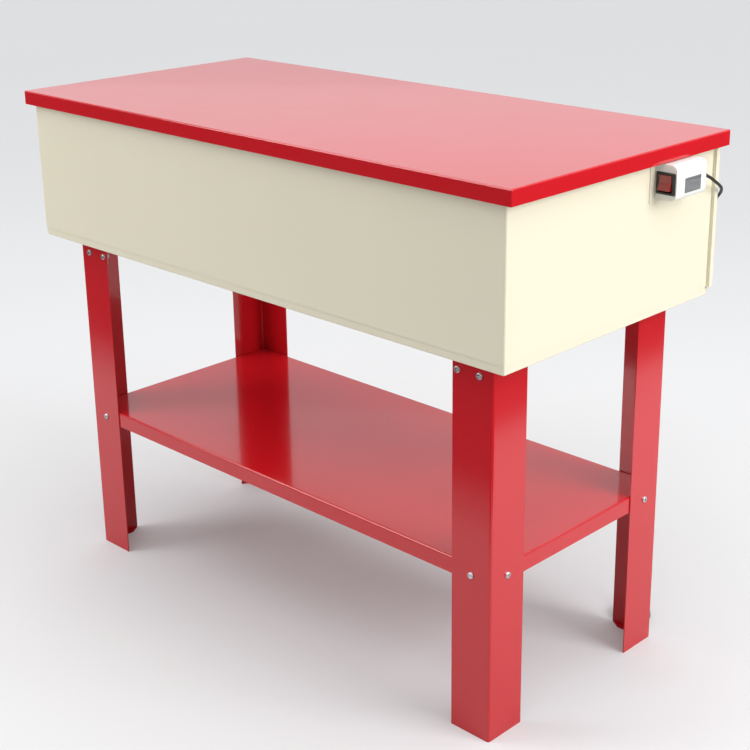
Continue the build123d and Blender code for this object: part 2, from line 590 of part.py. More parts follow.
def add_stay():
    """A bar that hangs from the lid, lies under it when closed and stands on a seat when open."""
    y, z = STAY_PIVOT
    x0, x1 = STAY_X, STAY_X + STAY_T
    half = STAY_W / 2
    bar = block(x0, x1, y - STAY_LEN, y, z - half, z + half)
    bar += rod(half, (x0, y, z), (x1, y, z)) + rod(half, (x0, y - STAY_LEN, z), (x1, y - STAY_LEN, z))
    bar -= rod(STAY_PIVOT_R + RUN_FIT, (x0 - 1, y, z), (x1 + 1, y, z))
    mid = y - STAY_LEN / 2
    bar -= block(x0 - 1, x1 + 1, mid - LINK_CUT / 2, mid + LINK_CUT / 2, z - half - 1, z + half + 1)
    for side in (-1, 1):
        at = mid + side * LINK_L / 3
        bar -= rod(LINK_RIVET_R, (x0 - 1, at, z), (x1 + 1, at, z))
    pieces = bar.solids().sort_by(Axis.Y)
    peg_y = y - STAY_LEN
    peg = rod(STAY_PEG_R, (x0 - STAY_PEG_L, peg_y, z), (x0 + STAY_T / 2, peg_y, z))
    NODES["stay_arm_lower"] = pieces[0] + peg
    NODES["stay_arm_upper"] = pieces[1]
    link = block(x1, x1 + LINK_T, mid - LINK_L / 2, mid + LINK_L / 2, z - half + 1, z + half - 1)
    link = fillet(link.edges().filter_by(Axis.X), 3)
    for side in (-1, 1):
        at = mid + side * LINK_L / 3
        link += rod(LINK_RIVET_R, (x0, at, z), (x1 + 2 * LINK_T, at, z))
    NODES["fusible_link"] = link
    tab_x = x1 + STAY_GAP
    tab = block(tab_x, tab_x + STAY_TAB_T, y - half, y + half, z - half, LID_UNDER)
    tab += block(tab_x, tab_x + STAY_W, y - half, y + half, LID_UNDER - STAY_TAB_T, LID_UNDER)
    tab += rod(STAY_PIVOT_R, (x0 - STAY_GAP / 2, y, z), (tab_x + 1, y, z))
    NODES["stay_lid_tab"] = tab
    y0, y1 = y - STAY_LEN * STAY_CLIP_AT - half, y - STAY_LEN * STAY_CLIP_AT + half
    clip = block(x0 - STAY_GAP / 2, tab_x + STAY_TAB_T, y0, y1, z + half + SEAT, LID_UNDER)
    NODES["stay_clip"] = clip + block(tab_x, tab_x + STAY_TAB_T, y0, y1, z - half, LID_UNDER)


def add_stay_seat():
    """The notched block on the left end wall that the stay's peg stands in."""
    y, z = STAY_SEAT
    wall = TX0 + WALL_T
    face = wall + STAY_SEAT_T
    half = STAY_SEAT_W / 2
    seat = block(wall, face, y - half, y + half, z - STAY_SEAT_DOWN, z + STAY_SEAT_UP)
    half = STAY_REST_W / 2
    seat += block(wall, STAY_X - STAY_GAP, y - half, y + half, z - STAY_REST_DOWN, z + STAY_REST_UP)
    notch_r = STAY_PEG_R + SEAT
    notch = rod(notch_r, (face, y, z), (STAY_X, y, z))
    notch += block(face, STAY_X, y - notch_r, y + notch_r, z, z + STAY_SEAT_UP)
    NODES["stay_seat"] = seat - notch


# ---- inside the tank ----------------------------------------------------------------------------
def add_work_shelf():
    low = WORK_Z - WORK_FLANGE
    shelf = pan_down(WORK_X0, WORK_X1, WORK_Y0, WORK_Y1, low, WORK_Z, WORK_T, WORK_T + 1)
    middle = Pos((WORK_X0 + WORK_X1) / 2, MID_Y, WORK_Z)
    sides = (WORK_L, WORK_Y1 - WORK_Y0)
    counts = [int((side - 2 * WORK_HOLE_MARGIN) / WORK_HOLE_PITCH) + 1 for side in sides]
    grid = GridLocations(WORK_HOLE_PITCH, WORK_HOLE_PITCH, *counts)
    NODES["work_shelf"] = shelf - [middle * place * Cylinder(WORK_HOLE_R, 4 * WORK_T) for place in grid]
    rails = []
    for wall, way in ((TY0 + WALL_T, 1), (TY1 - WALL_T, -1)):
        ledge = block(WORK_X0, WORK_X1, *sorted((wall, wall + way * RAIL_W)), RAIL_Z - RAIL_T, RAIL_Z)
        ledge += block(WORK_X0, WORK_X1, *sorted((wall, wall + way * RAIL_T)), RAIL_Z - RAIL_H, RAIL_Z)
        rails.append(ledge)
    NODES["shelf_rails"] = Compound(children=rails)


def add_basket():
    x0, x1 = BASKET_X - BASKET_L / 2, BASKET_X + BASKET_L / 2
    y0, y1 = MID_Y - BASKET_W / 2, MID_Y + BASKET_W / 2
    z0 = WORK_Z + SEAT
    z1 = z0 + BASKET_H
    basket = pan_up(x0, x1, y0, y1, z0, z1, BASKET_T, BASKET_T + 2)
    low, high = z0 + BASKET_MARGIN, z1 - BASKET_MARGIN
    slots = []
    for at, half in slot_places(BASKET_X, BASKET_L):
        slots.append(block(at - half, at + half, y0 - 1, y1 + 1, low, high))
        slots.append(block(at - half, at + half, y0 + BASKET_MARGIN, y1 - BASKET_MARGIN, z0 - 1, low))
    for at, half in slot_places(MID_Y, BASKET_W):
        slots.append(block(x0 - 1, x1 + 1, at - half, at + half, low, high))
    rim = block(x0 - BASKET_RIM, x1 + BASKET_RIM, y0 - BASKET_RIM, y1 + BASKET_RIM, z1 - BASKET_T, z1)
    NODES["parts_basket"] = basket - slots + (rim - block(x0, x1, y0, y1, z0, z1 + 1))


def slot_places(middle, length):
    """The middle and the half width of each slot along one side of the basket."""
    count = int(length / SLOT_PITCH) - 1
    return [(middle + (i - (count - 1) / 2) * SLOT_PITCH, SLOT_W / 2) for i in range(count)]


def add_pump_strainer():
    """The perforated plate under the pump, with a short skirt up to the base."""
    x, y = PUMP_X, PUMP_Y
    low = PUMP_Z + STRAINER_GAP
    skirt = disc(STRAINER_R, x, y, low, BASE_Z) - disc(STRAINER_R - STRAINER_T, x, y, PUMP_Z, BASE_Z + 1)
    strainer = skirt + disc(STRAINER_R, x, y, low, low + STRAINER_T)
    for place in PolarLocations(STRAINER_R * 0.62, STRAINER_SLOTS):
        strainer -= Pos(x, y, low) * place * Box(STRAINER_R / 3, STRAINER_SLOT_W, 3 * STRAINER_T)
    NODES["pump_strainer"] = strainer - disc(STRAINER_EYE_R, x, y, PUMP_Z, low + 2 * STRAINER_T)


def add_pump_base():
    """The pump's chamber: a cup open at the top, three feet, and the outlet up to its hose barb."""
    x, y = PUMP_X, PUMP_Y
    chamber_r = PUMP_BASE_R - PUMP_WALL
    base = disc(PUMP_BASE_R, x, y, BASE_Z, MOTOR_Z)
    base -= disc(chamber_r, x, y, BASE_Z + PUMP_WALL, MOTOR_Z + 1)
    base -= disc(PUMP_EYE_R, x, y, BASE_Z - 1, BASE_Z + 2 * PUMP_WALL)
    for place in PolarLocations(PUMP_BASE_R - 1, 3, start_angle=60):
        foot = Pos(x, y, (PUMP_Z + BASE_Z) / 2) * place * Cylinder(PUMP_FOOT_R, PUMP_LEG_H)
        base += foot - disc(STRAINER_R + SEAT, x, y, PUMP_Z - 1, BASE_Z)
    mid = BASE_Z + PUMP_BASE_H / 2
    out_x = SPOUT_X
    bore_r = BARB_R - BARB_T
    start_x = x - chamber_r + PUMP_WALL
    outlet = rod(OUTLET_R, (start_x, y, mid), (out_x, y, mid))
    outlet += disc(OUTLET_R, out_x, y, mid - OUTLET_R, MOTOR_Z)
    outlet += disc(BARB_R, out_x, y, MOTOR_Z, MOTOR_Z + BARB_H)
    base += outlet - disc(chamber_r, x, y, BASE_Z, MOTOR_Z + 1)
    base -= rod(bore_r, (start_x, y, mid), (out_x, y, mid))
    NODES["pump_base"] = base - disc(bore_r, out_x, y, mid - bore_r, MOTOR_Z + BARB_H + 1)


def add_pump_motor():
    x, y = PUMP_X, PUMP_Y
    top = MOTOR_TOP
    shaft_top = MOTOR_Z + PUMP_SHAFT_L
    motor = disc(PUMP_BASE_R, x, y, MOTOR_Z, MOTOR_Z + PUMP_FLANGE_T)
    motor += disc(PUMP_MOTOR_R, x, y, MOTOR_Z, top)
    motor = fillet(motor.edges().group_by(Axis.Z)[-1], PUMP_MOTOR_ROUND)
    fin_h = PUMP_MOTOR_H - 2 * PUMP_FLANGE_T - 2 * PUMP_MOTOR_ROUND
    for place in PolarLocations(PUMP_MOTOR_R, PUMP_GROOVES):
        motor -= Pos(x, y, MOTOR_Z + PUMP_MOTOR_H / 2) * place * Box(PUMP_GROOVE, PUMP_GROOVE, fin_h)
    NODES["pump_motor"] = motor - disc(PUMP_SHAFT_R + RUN_FIT, x, y, MOTOR_Z - 1, shaft_top + SEAT)
    gland = disc(GLAND_R, x, y, top, top + GLAND_H)
    gland = fillet(gland.edges().group_by(Axis.Z)[-1], GLAND_R / 4)
    NODES["pump_gland"] = gland - disc(LEAD_R + RUN_FIT, x, y, top - 1, top + GLAND_H + 1)
    vane_z = BASE_Z + PUMP_WALL + IMPELLER_GAP
    impeller = disc(IMPELLER_R, x, y, vane_z, vane_z + IMPELLER_T)
    impeller += disc(IMPELLER_HUB_R, x, y, vane_z, MOTOR_Z - IMPELLER_GAP)
    impeller += disc(PUMP_SHAFT_R, x, y, vane_z, shaft_top)
    middle = Pos(x, y, vane_z + IMPELLER_H / 2)
    for place in PolarLocations(IMPELLER_R * 0.55, IMPELLER_VANES):
        impeller += middle * place * Box(IMPELLER_R * 0.8, IMPELLER_T, IMPELLER_H)
    NODES["pump_impeller"] = impeller


def add_pump_strap():
    """A strap that holds the pump's motor to the back wall."""
    x, y = PUMP_X, PUMP_Y
    z0, z1 = STRAP_Z, STRAP_Z + STRAP_H
    wall = TY1 - WALL_T
    inner = PUMP_MOTOR_R + SEAT
    outer = inner + STRAP_T
    strap = disc(outer, x, y, z0, z1) - disc(inner, x, y, z0 - 1, z1 + 1)
    strap -= block(x - outer - 1, x + outer + 1, y - outer - 1, y - STRAP_WRAP, z0 - 1, z1 + 1)
    for side in (-1, 1):
        near, far = sorted((x + side * inner, x + side * outer))
        strap += block(near, far, y, wall, z0, z1)
        near, far = sorted((x + side * inner, x + side * (outer + STRAP_TAB)))
        strap += block(near, far, wall - STRAP_T, wall, z0, z1)
    NODES["pump_strap"] = strap


def add_spout_fitting():
    """The wall bracket, the threaded fitting through it with its nut, and the hose from the pump."""
    x, y, z = SPOUT_X, SPOUT_Y, SPOUT_BRACKET_Z
    wall = TY1 - WALL_T
    half = SPOUT_BRACKET_W / 2
    t = SPOUT_BRACKET_T
    bracket = block(x - half, x + half, y - SPOUT_BRACKET_OUT, wall, z - t, z)
    low = STRAP_Z + STRAP_H + SPOUT_BRACKET_GAP
    bracket += block(x - half, x + half, wall - t, wall, low, z)
    NODES["spout_bracket"] = bracket - disc(SPIGOT_R + BOLT_CLEAR, x, y, z - 2 * t, z + 1)
    barb_top = z - SPIGOT_DROP
    fitting = disc(SPIGOT_R, x, y, barb_top, COLLAR_Z - SEAT + SPIGOT_H)
    fitting += extrude(Pos(x, y, z) * RegularPolygon(SPIGOT_HEX_R, 6), SPIGOT_HEX_H)
    fitting += disc(BARB_R, x, y, barb_top - BARB_H, barb_top)
    bore_r = BARB_R - BARB_T
    NODES["spout_fitting"] = fitting - disc(bore_r, x, y, barb_top - BARB_H - 1, COLLAR_Z + SPIGOT_H)
    thread_r = SPIGOT_R + THREAD_GAP
    NODES["spout_nut"] = hex_nut((x, y, z - t), (0, 0, -1), thread_r, SPIGOT_HEX_R, SPOUT_NUT_H)
    hose = disc(HOSE_R, x, y, MOTOR_Z + SEAT, barb_top - SEAT)
    NODES["outlet_hose"] = hose - disc(BARB_R + RUN_FIT, x, y, MOTOR_Z - 1, barb_top)
    clamps = []
    for low in (MOTOR_Z + CLAMP_W / 2, barb_top - 1.5 * CLAMP_W):
        band = disc(HOSE_R + CLAMP_T, x, y, low, low + CLAMP_W)
        band += block(x - CLAMP_W / 2, x + CLAMP_W / 2, y - HOSE_R - CLAMP_EAR, y, low, low + CLAMP_W)
        clamps.append(band - disc(HOSE_R + RUN_FIT, x, y, low - 1, low + CLAMP_W + 1))
    NODES["hose_clamps"] = Compound(children=clamps)


def add_spout():
    """The part that swings: a collar over the fitting's spigot, the bent tube and its nozzle."""
    x, y = SPOUT_X, SPOUT_Y
    top = COLLAR_Z + COLLAR_H
    collar = disc(COLLAR_R, x, y, COLLAR_Z, top)
    collar = fillet(collar.edges().group_by(Axis.Z)[-1], 2)
    collar -= disc(SPIGOT_R + RUN_FIT, x, y, COLLAR_Z - 1, COLLAR_Z + SPIGOT_H + SEAT)
    NODES["spout_collar"] = collar - disc(SPOUT_BORE_R, x, y, COLLAR_Z, top + 1)
    turn = radians(SPOUT_TURN)
    end_x, end_y = x + SPOUT_REACH * cos(turn), y + SPOUT_REACH * sin(turn)
    tip = SPOUT_LEVEL - SPOUT_DROP
    route = [(x, y, top), (x, y, SPOUT_LEVEL), (end_x, end_y, SPOUT_LEVEL), (end_x, end_y, tip)]
    NODES["spout_tube"] = tube(route, SPOUT_BEND, SPOUT_R, SPOUT_BORE_R)
    cone_h = NOZZLE_L - NOZZLE_NUT_H
    nozzle = disc(SPOUT_R + 2, end_x, end_y, tip - NOZZLE_NUT_H, tip)
    nozzle += Pos(end_x, end_y, tip - NOZZLE_NUT_H - cone_h / 2) * Cone(NOZZLE_TIP_R, SPOUT_R + 1, cone_h)
    NODES["spout_nozzle"] = nozzle - disc(NOZZLE_BORE_R, end_x, end_y, tip - NOZZLE_L - 1, tip + 1)


# ---- switch box ---------------------------------------------------------------------------------
def box_solid(inset):
    """The box's outer form, or its cavity when inset: round along its outer long edges."""
    solid = block(BOX_X0, BOX_X1 - inset, BOX_Y0 + inset, BOX_Y1 - inset, BOX_Z0 + inset, BOX_Z1 - inset)
    long_edges = [e for e in solid.edges().filter_by(Axis.Y) if e.center().X > BOX_X1 - inset - 1]
    solid = fillet(long_edges, BOX_ROUND - inset)
    rear = solid.faces().sort_by(Axis.Y)[-1]
    rear_edges = [e for e in rear.edges() if e.center().X > BOX_X0 + 1]
    return fillet(rear_edges, BOX_WALL * 2 - inset)


def label_block(gap):
    """The rating plate, or its shallow recess when a gap is added round it."""
    y, z = LABEL_L / 2 + gap, LABEL_H / 2 + gap
    return block(BOX_X1 - LABEL_T, BOX_X1 + gap, LABEL_Y - y, LABEL_Y + y, LABEL_Z - z, LABEL_Z + z)


def add_switch_box():
    y0, y1 = BOX_Y0 - PLATE_LAP_Y, BOX_Y1 + PLATE_LAP_Y
    plate = block(TX1, BOX_X0, y0, y1, BOX_Z0 - PLATE_LAP_Z, BOX_Z1)
    back = BOX_X0 + BOX_WALL
    y0, y1 = BOX_Y0 + BOX_WALL, BOX_Y1 - BOX_WALL
    z0, z1 = BOX_Z0 + BOX_WALL, BOX_Z1 - BOX_WALL
    shell = box_solid(0) - box_solid(BOX_WALL) - block(BOX_X0 - 1, back, y0, y1, z0, z1)
    screw_z = BOX_Z0 + BOX_SCREW_RISE
    tip = BOX_X0 + BOX_SCREW[1]
    screws = []
    for y in BOX_SCREWS:
        shell += rod(BOX_BOSS_R, (BOX_X0, y, screw_z), (BOX_X1 - BOX_WALL / 2, y, screw_z))
        shell -= rod(BOX_SCREW_R + THREAD_GAP, (BOX_X0 - 1, y, screw_z), (tip, y, screw_z))
        plate -= rod(BOX_SCREW_R + BOLT_CLEAR, (TX1 - 1, y, screw_z), (BOX_X0 + 1, y, screw_z))
        screws.append(pan_head_screw((TX1 - WALL_T, y, screw_z), (-1, 0, 0), BOX_SCREW))
    hole_w, hole_h = SWITCH_W + 2 * LABEL_GAP, SWITCH_H + 2 * LABEL_GAP
    shell -= Pos(BEZEL_X, BOX_Y0, BEZEL_Z) * Box(hole_w, 6 * BOX_WALL, hole_h)
    shell -= label_block(LABEL_GAP)
    inside = BOX_Y1 - RELIEF_PLUG
    shell -= rod(RELIEF_R1, (CORD_X, inside, CORD_EXIT_Z), (CORD_X, BOX_Y1 + 1, CORD_EXIT_Z))
    NODES["switch_box"] = shell
    plate -= rod(GROMMET_R, (TX1 - 1, LEAD_Y, LEAD_Z), (BOX_X0 + 1, LEAD_Y, LEAD_Z))
    NODES["switch_box_plate"] = plate
    NODES["switch_box_screws"] = Compound(children=screws)
    NODES["rating_plate"] = label_block(0)
    face = TX1 - WALL_T
    grommet = rod(GROMMET_R, (face, LEAD_Y, LEAD_Z), (back, LEAD_Y, LEAD_Z))
    grommet += rod(GROMMET_FLANGE, (face - GROMMET_T, LEAD_Y, LEAD_Z), (face, LEAD_Y, LEAD_Z))
    bore = rod(LEAD_R + RUN_FIT, (face - 2 * GROMMET_T, LEAD_Y, LEAD_Z), (back + 1, LEAD_Y, LEAD_Z))
    NODES["lead_grommet"] = grommet - bore


def add_switch_body():
    """The rocker's housing: a square bezel in front, a box behind it, and two terminals."""
    front = BOX_Y0 - BEZEL_T
    bezel = Pos(BEZEL_X, BOX_Y0 - BEZEL_T / 2, BEZEL_Z) * Box(BEZEL, BEZEL_T, BEZEL)
    bezel = fillet(bezel.edges().filter_by(Axis.Y), BEZEL_ROUND)
    bezel = chamfer(bezel.faces().sort_by(Axis.Y)[0].edges(), BEZEL_EDGE)
    body = Pos(BEZEL_X, BOX_Y0 + SWITCH_DEEP / 2, BEZEL_Z) * Box(SWITCH_W, SWITCH_DEEP, SWITCH_H)
    hollow = SWITCH_DEEP + BEZEL_T - SWITCH_BACK
    body = bezel + body - Pos(BEZEL_X, front + hollow / 2, BEZEL_Z) * Box(WINDOW_W, hollow, WINDOW_H)
    ends = [(BEZEL_X + side * SWITCH_W, *ROCKER_AXIS) for side in (-1, 1)]
    body -= rod(ROCKER_PIN_R + RUN_FIT, *ends)
    for side in (-1, 1):
        tab = Box(TERMINAL_T, TERMINAL_L, TERMINAL_L)
        body += Pos(BEZEL_X + side * TERMINAL_X, BOX_Y0 + SWITCH_DEEP + TERMINAL_L / 2, BEZEL_Z) * tab
    NODES["switch_body"] = body


def add_rocker():
    """The rocker, drawn level as (height, depth) about its pin and turned to its off position."""
    half_w, half_h = WINDOW_W / 2 - ROCKER_GAP, WINDOW_H / 2 - 2 * ROCKER_GAP
    outline = [
        (0, -ROCKER_SADDLE), (half_h, -ROCKER_LIFT), (half_h - 1, 0),
        (ROCKER_ROOT, ROCKER_DEEP), (-ROCKER_ROOT, ROCKER_DEEP), (1 - half_h, 0), (-half_h, -ROCKER_LIFT),
    ]
    rest = radians(-ROCKER_THROW / 2)
    pin_y, pin_z = ROCKER_AXIS
    turned = []
    for height, depth in outline:
        y = pin_y + depth * cos(rest) - height * sin(rest)
        turned.append((y, pin_z + depth * sin(rest) + height * cos(rest)))
    side = Plane(origin=(BEZEL_X - half_w, 0, 0), x_dir=(0, 1, 0), z_dir=(1, 0, 0))
    rocker = extrude(side * make_face(Polyline(*turned, close=True)), 2 * half_w)
    reach = SWITCH_W / 2 - BOLT_CLEAR
    ends = [(BEZEL_X + side * reach, *ROCKER_AXIS) for side in (-1, 1)]
    NODES["rocker"] = rocker + rod(ROCKER_PIN_R, *ends)


def add_pump_lead():
    route = [
        (PUMP_X, PUMP_Y, MOTOR_TOP), (PUMP_X, PUMP_Y, MOTOR_TOP + LEAD_RISE),
        (PUMP_X + LEAD_RISE / 2, (PUMP_Y + LEAD_Y) / 2, LEAD_Z - LEAD_R),
        (PUMP_X + 2 * LEAD_RISE, LEAD_Y, LEAD_Z), (BOX_X0 + LEAD_INTO_BOX, LEAD_Y, LEAD_Z),
    ]
    NODES["pump_lead"] = tube(route, arc_radii(route), LEAD_R)


# ---- power cord ---------------------------------------------------------------------------------
SIGHT = (-0.5563, 0.8310)  # from the coil towards its plug
ACROSS = (0.8310, 0.5563)


def by_coil(across, along, z):
    """A point given across and along the line from the coil's centre to the plug."""
    return (
        COIL_X + across * ACROSS[0] + along * SIGHT[0],
        COIL_Y + across * ACROSS[1] + along * SIGHT[1],
        z,
    )


CORD_ROUTE = [
    (CORD_X, BOX_Y1 + RELIEF_L, CORD_EXIT_Z),
    (582.5, 213.0, 861.5), (582.7, 229.0, 851.5), (581.5, 246.0, 842.0),
    (576.0, 262.0, 832.5), (565.5, 275.0, 821.0), (549.0, 284.0, 804.5), (528.0, 290.5, 782.0),
    (504.5, 294.0, 753.5), (482.0, 295.5, 719.0), (461.5, 296.3, 678.0), (444.5, 296.9, 630.0),
    (432.0, 297.2, 574.0), (425.0, 297.2, 513.0), (421.8, 297.0, 447.0), (420.6, 296.6, 380.0),
    (420.4, 296.2, 312.0), (420.6, 295.8, 244.0), (421.1, 295.4, 176.0), (421.6, 295.0, 116.0),
    (422.0, 294.8, 72.0), (422.2, 294.7, 42.8), (419.0, 289.9, 28.9), (413.9, 280.4, 18.2),
    (410.6, 266.9, 12.4), (411.8, 251.0, 12.4),
]
TAIL_ROUTE = [(28.6, 0.0, 2.6), (28.0, 16.0, 2.8), (24.0, 34.0, 4.5), (17.0, 49.0, 7.6), (12.0, 64.0, 9.0)]


def add_strain_relief():
    relief = Pos(0, 0, RELIEF_L / 2) * Cone(RELIEF_R0, RELIEF_R1, RELIEF_L)
    relief += Pos(0, 0, RELIEF_FLANGE / 2) * Cylinder(RELIEF_R0 + RELIEF_FLANGE / 2, RELIEF_FLANGE)
    relief += Pos(0, 0, -RELIEF_PLUG / 2) * Cylinder(RELIEF_R1 - RUN_FIT, RELIEF_PLUG)
    NODES["cord_strain_relief"] = Plane(origin=(CORD_X, BOX_Y1, CORD_EXIT_Z), z_dir=(0, 1, 0)) * relief


def add_cord():
    """The free lead down behind the tank, the coil on the floor, and the tail to the plug."""
    r = CORD_D / 2
    routes = {"lead": CORD_ROUTE, "tail": [by_coil(*point) for point in TAIL_ROUTE]}
    pieces = []
    for name, route in routes.items():
        radii = arc_radii(route)
        piece = tube(route, radii, r)
        pieces.append(piece)
        length = FilletPolyline(*route, radius=radii).length
        filled = piece.volume / (pi * r * r * length)
        print(name, "length", round(length), "arcs", [round(v) for v in radii], "filled", round(filled, 4))
    NODES["power_cord"] = Compound(children=pieces)
    ring = disc(COIL_MID_R + CORD_D, COIL_X, COIL_Y, 0, COIL_H)
    NODES["cord_coil"] = ring - disc(COIL_MID_R - CORD_D, COIL_X, COIL_Y, -1, COIL_H + 1)


def add_plug():
    origin = by_coil(PLUG_ASIDE, PLUG_FROM, PLUG_H / 2)
    frame = Plane(origin=origin, x_dir=(*ACROSS, 0), z_dir=(*SIGHT, 0))
    body = Pos(0, 0, PLUG_L / 2) * Box(PLUG_W, PLUG_H, PLUG_L)
    body = fillet(body.edges().filter_by(Axis.Z), PLUG_ROUND)
    NODES["plug_body"] = frame * fillet(body.faces().sort_by(Axis.Z)[0].edges(), PLUG_ROUND - 1)
    pin_z = PLUG_L + PRONG_L / 2
    pins = [Pos(side * PRONG_SPREAD / 2, 1, pin_z) * Box(PRONG_T, PRONG_W, PRONG_L) for side in (-1, 1)]
    pins.append(Pos(0, -EARTH_DROP, pin_z) * Cylinder(EARTH_R, PRONG_L))
    NODES["plug_pins"] = Compound(children=[frame * pin for pin in pins])


def print_stay():
    """The stay's pivot and turn, which the motion record repeats."""
    stood = degrees(atan2(STAY_SEAT[1] - OPEN_PIVOT[1], STAY_SEAT[0] - OPEN_PIVOT[0])) + LID_OPEN
    print("stay pivot", STAY_PIVOT, "length", STAY_LEN, "turn", stood - 180)
    print("hinge", HINGE_Y, HINGE_Z)


add_legs()
add_lower_shelf()
add_tank_front()
add_tank_ends()
add_tank_back()
add_tank_bottom()
add_drain()
add_hinge()
add_lid()
add_stay()
add_stay_seat()
add_work_shelf()
add_basket()
add_pump_strainer()
add_pump_base()
add_pump_motor()
add_pump_strap()
add_spout_fitting()
add_spout()
add_switch_box()
add_switch_body()
add_rocker()
add_pump_lead()
add_strain_relief()
add_cord()
add_plug()
print_stay()

os.makedirs("parts", exist_ok=True)
for name, shape in NODES.items():
    shape.label = name
    export_step(shape, f"parts/{name}.step")
print(len(NODES), "nodes")
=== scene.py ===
import json
import math

import bpy
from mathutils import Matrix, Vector

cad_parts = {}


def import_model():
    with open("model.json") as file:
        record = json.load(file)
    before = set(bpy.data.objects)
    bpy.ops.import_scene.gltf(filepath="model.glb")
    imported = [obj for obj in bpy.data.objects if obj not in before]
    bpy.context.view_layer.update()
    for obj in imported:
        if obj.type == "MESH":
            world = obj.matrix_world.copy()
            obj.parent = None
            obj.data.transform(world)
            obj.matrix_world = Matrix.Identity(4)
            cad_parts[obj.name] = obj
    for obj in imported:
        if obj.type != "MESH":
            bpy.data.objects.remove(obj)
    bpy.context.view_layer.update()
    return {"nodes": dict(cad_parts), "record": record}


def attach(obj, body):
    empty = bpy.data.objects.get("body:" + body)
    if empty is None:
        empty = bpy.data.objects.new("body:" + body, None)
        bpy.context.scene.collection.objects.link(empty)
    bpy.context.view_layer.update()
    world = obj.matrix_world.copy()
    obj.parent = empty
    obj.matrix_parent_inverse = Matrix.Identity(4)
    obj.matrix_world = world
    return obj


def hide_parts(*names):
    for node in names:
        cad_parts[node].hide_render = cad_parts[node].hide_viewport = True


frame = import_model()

# ---- camera -------------------------------------------------------------------------------------
cam_data = bpy.data.cameras.new("camera")
cam_data.sensor_width = 36.0
cam_data.lens = 70.3
cam_data.shift_x = -0.03
cam_data.shift_y = -0.07
cam_data.clip_end = 60.0
camera = bpy.data.objects.new("camera", cam_data)
camera.location = (1.7975, -1.7599, 1.3912)
camera.rotation_euler = [math.radians(a) for a in (71.259, 0.486, 43.810)]
bpy.context.scene.collection.objects.link(camera)
bpy.context.scene.camera = camera
bpy.context.scene.view_settings.view_transform = "Standard"
bpy.context.scene.view_settings.look = "None"


# ---- materials ----------------------------------------------------------------------------------
NOISE_ROUGHNESS = 0.55
NOISE_LOW, NOISE_HIGH = 0.3, 0.7  # where most of a noise's values lie


class Build:
    """A node tree with short calls to add and join nodes."""

    def __init__(self, name):
        self.mat = bpy.data.materials.new(name)
        self.mat.use_nodes = True
        self.nodes = self.mat.node_tree.nodes
        self.links = self.mat.node_tree.links
        self.bsdf = self.nodes["Principled BSDF"]
        self.coord = self.nodes.new("ShaderNodeTexCoord").outputs["Object"]

    def link(self, a, b):
        self.links.new(a, b)

    def noise(self, scale, detail, stretch=None):
        node = self.nodes.new("ShaderNodeTexNoise")
        node.inputs["Scale"].default_value = scale
        node.inputs["Detail"].default_value = detail
        node.inputs["Roughness"].default_value = NOISE_ROUGHNESS
        source = self.coord
        if stretch:
            mapping = self.nodes.new("ShaderNodeMapping")
            mapping.inputs["Scale"].default_value = stretch
            self.link(self.coord, mapping.inputs["Vector"])
            source = mapping.outputs["Vector"]
        self.link(source, node.inputs["Vector"])
        return node.outputs["Fac"]

    def spread(self, noise, a, b):
        """Spreads a noise over a to b."""
        return self.ramp(noise, NOISE_LOW, NOISE_HIGH, a, b)

    def ramp(self, value, low, high, a, b):
        """Spreads a value between low and high over a to b."""
        node = self.nodes.new("ShaderNodeMapRange")
        node.inputs["From Min"].default_value = low
        node.inputs["From Max"].default_value = high
        node.inputs["To Min"].default_value = a
        node.inputs["To Max"].default_value = b
        self.link(value, node.inputs["Value"])
        return node.outputs["Result"]

    def mix(self, factor, a, b):
        node = self.nodes.new("ShaderNodeMix")
        node.data_type = "RGBA"
        self.link(factor, node.inputs["Factor"])
        for socket, value in ((node.inputs["A"], a), (node.inputs["B"], b)):
            if isinstance(value, tuple):
                socket.default_value = (*value, 1.0)
            else:
                self.link(value, socket)
        return node.outputs["Result"]

    def math(self, operation, a, b):
        node = self.nodes.new("ShaderNodeMath")
        node.operation = operation
        self.link(a, node.inputs[0])
        self.link(b, node.inputs[1])
        return node.outputs["Value"]

    def shader_mix(self, factor, a, b):
        node = self.nodes.new("ShaderNodeMixShader")
        self.link(factor, node.inputs["Fac"])
        self.link(a, node.inputs[1])
        self.link(b, node.inputs[2])
        return node.outputs["Shader"]

    def bump(self, value, strength, distance):
        node = self.nodes.new("ShaderNodeBump")
        node.inputs["Strength"].default_value = strength
        node.inputs["Distance"].default_value = distance
        self.link(value, node.inputs["Height"])
        self.link(node.outputs["Normal"], self.bsdf.inputs["Normal"])

    def put(self, **values):
        for key, value in values.items():
            socket = self.bsdf.inputs[key.replace("_", " ")]
            if isinstance(value, (int, float)):
                socket.default_value = value
            elif isinstance(value, tuple):
                socket.default_value = (*value, 1.0)
            else:
                self.link(value, socket)


def enamel(name, colour, dull, rough, coat, peel):
    """Sprayed enamel: a slow drift of tone, an uneven gloss, and a fine orange peel."""
    b = Build(name)
    tone = b.mix(b.spread(b.noise(2.2, 3.0), 0.0, 1.0), colour, dull)
    b.put(Base_Color=tone, Roughness=b.spread(b.noise(9.0, 6.0), rough * 0.85, rough * 1.2))
    b.put(Coat_Weight=coat, Coat_Roughness=rough * 0.35, Coat_IOR=1.5)
    b.bump(b.noise(420.0, 2.0), peel, 0.0004)
    return b.mat


def metal(name, colour, rough, grain, stretch=(1.0, 1.0, 1.0)):
    """Bare or plated metal with a fine grain."""
    b = Build(name)
    fine = b.noise(grain, 5.0, stretch)
    tone = b.mix(b.spread(fine, 0.0, 1.0), colour, tuple(c * 0.78 for c in colour))
    b.put(Base_Color=tone, Metallic=1.0, Roughness=b.spread(fine, rough * 0.8, rough * 1.25))
    b.bump(b.noise(grain * 2.0, 3.0, stretch), 0.12, 0.0002)
    return b.mat


